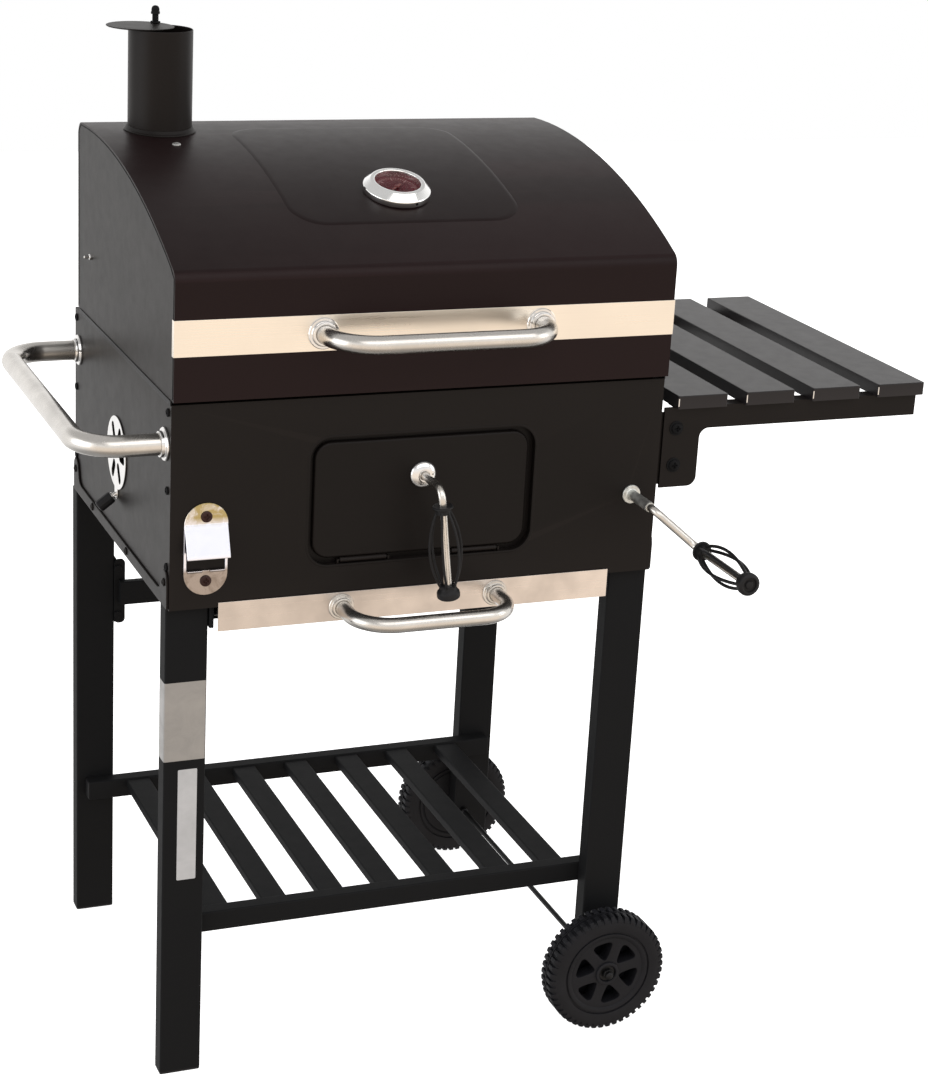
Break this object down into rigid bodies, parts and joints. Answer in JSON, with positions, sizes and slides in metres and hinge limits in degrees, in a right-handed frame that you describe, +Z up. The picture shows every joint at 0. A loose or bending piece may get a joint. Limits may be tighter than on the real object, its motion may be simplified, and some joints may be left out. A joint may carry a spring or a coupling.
{
  "type": "charcoal grill cart",
  "caption": "Charcoal grill cart with a hinged lid and chimney, crank-raised charcoal pan, tilting fuel door, ash drawer, slatted side table and wheels.",
  "frame": {"origin": "on the floor, at the centre of the whole outline seen from above", "axes": "+X to the side table, +Y to the back, +Z up"},
  "size_m": [1.068, 0.7372, 1.225],
  "materials": {
    "body_paint": "warm near-black satin powder coat",
    "leg_paint": "cool near-black satin powder coat",
    "slat_paint": "dark grey satin powder coat",
    "stainless": "satin stainless steel, brushed along its length",
    "chrome": "polished chrome",
    "black_plastic": "matt black moulding",
    "zinc": "dull zinc-plated steel",
    "cast_iron": "seasoned cast iron",
    "enamel": "black enamel",
    "dial": "printed dial",
    "needle": "white lacquer",
    "glass": "clear"
  },
  "bodies": {
    "cart": {"leg_front_left": "leg_paint", "leg_front_right": "leg_paint", "leg_back_left": "leg_paint", "leg_back_right": "leg_paint", "leg_feet": "black_plastic", "shelf_front_rail": "leg_paint", "shelf_back_rail": "leg_paint", "shelf_slats": "leg_paint", "rear_crossbar": "leg_paint", "wheel_axle": "zinc", "axle_nuts": "zinc", "firebox_front": "body_paint", "firebox_back": "body_paint", "firebox_left": "body_paint", "firebox_right": "body_paint", "firebox_floor": "body_paint", "drawer_runners": "leg_paint", "panel_screws": "zinc", "push_handle": "stainless", "push_handle_flanges": "chrome", "bottle_opener": "chrome", "table_slats": "slat_paint", "table_brackets": "body_paint", "table_angles": "body_paint", "table_bolts": "leg_paint", "cooking_grates": "cast_iron", "grate_ledges": "zinc", "crank_bushes": "zinc", "lift_guides": "zinc", "lid_hinge_brackets": "zinc"},
    "lid": {"lid_shell": "body_paint", "lid_end_left": "body_paint", "lid_end_right": "body_paint", "lid_band": "stainless", "lid_handle": "stainless", "lid_handle_flanges": "chrome", "lid_hinge_leaves": "zinc", "thermometer_case": "chrome", "thermometer_dial": "dial", "thermometer_glass": "glass", "chimney_pipe": "body_paint", "chimney_pivot": "leg_paint"},
    "needle": {"thermometer_needle": "needle"},
    "cap": {"chimney_cap": "body_paint"},
    "door": {"door_panel": "body_paint", "door_flange": "chrome"},
    "door_handle": {"door_handle_rod": "stainless", "door_grip": "black_plastic"},
    "ash_drawer": {"ash_tray": "zinc", "drawer_front": "stainless", "drawer_handle": "stainless"},
    "crank": {"crank_rod": "stainless", "crank_grip": "black_plastic"},
    "carriage": {"lift_carriage": "zinc"},
    "pan": {"charcoal_pan": "enamel", "charcoal_grate": "cast_iron"},
    "vent": {"vent_disc": "chrome", "vent_knob": "black_plastic"},
    "front_wheel": {"wheel_front": "black_plastic"},
    "back_wheel": {"wheel_back": "black_plastic"}
  },
  "joints": [
    {"name": "lid_hinge", "type": "hinge", "parent": "cart", "child": "lid", "pos_m": [-0.1275, 0.3076, 0.854], "axis": [-1, 0, 0], "range_deg": [0, 90]},
    {"name": "cap_swivel", "type": "hinge", "parent": "lid", "child": "cap", "pos_m": [-0.346, 0.2436, 1.203], "axis": [0, 0, 1], "range_deg": [-80, 47]},
    {"name": "needle_turn", "type": "hinge", "parent": "lid", "child": "needle", "pos_m": [-0.1275, -0.0197, 1.05268], "axis": [0, -0.2869, 0.958], "range_deg": [-270, 0]},
    {"name": "door_tilt", "type": "hinge", "parent": "cart", "child": "door", "pos_m": [-0.1275, -0.1424, 0.646], "axis": [1, 0, 0], "range_deg": [0, 36]},
    {"name": "door_handle_turn", "type": "hinge", "parent": "door", "child": "door_handle", "pos_m": [-0.1275, -0.1684, 0.7435], "axis": [0, -1, 0], "range_deg": [-90, 0]},
    {"name": "drawer_slide", "type": "slide", "parent": "cart", "child": "ash_drawer", "axis": [0, 1, 0], "range_m": [-0.3, 0]},
    {"name": "crank_turn", "type": "hinge", "parent": "cart", "child": "crank", "pos_m": [0.1395, -0.1744, 0.702], "axis": [0, -1, 0], "range_deg": [0, 1800]},
    {"name": "carriage_slide", "type": "slide", "parent": "cart", "child": "carriage", "axis": [0, -1, 0], "range_m": [0, 0.08]},
    {"name": "pan_lift", "type": "slide", "parent": "cart", "child": "pan", "axis": [0, 0, 1], "range_m": [0, 0.08]},
    {"name": "vent_turn", "type": "hinge", "parent": "cart", "child": "vent", "pos_m": [-0.4285, 0.0896, 0.718], "axis": [1, 0, 0], "range_deg": [-30, 30]},
    {"name": "front_wheel_spin", "type": "hinge", "parent": "cart", "child": "front_wheel", "pos_m": [0.1365, -0.1794, 0.079], "axis": [0, 1, 0], "continuous": true},
    {"name": "back_wheel_spin", "type": "hinge", "parent": "cart", "child": "back_wheel", "pos_m": [0.1365, 0.3426, 0.079], "axis": [0, 1, 0], "continuous": true}
  ],
  "couplings": [
    {"joint": "carriage_slide", "follows": "crank_turn", "m_per_rad": 0.0025465},
    {"joint": "pan_lift", "follows": "crank_turn", "m_per_rad": 0.0025465}
  ]
}
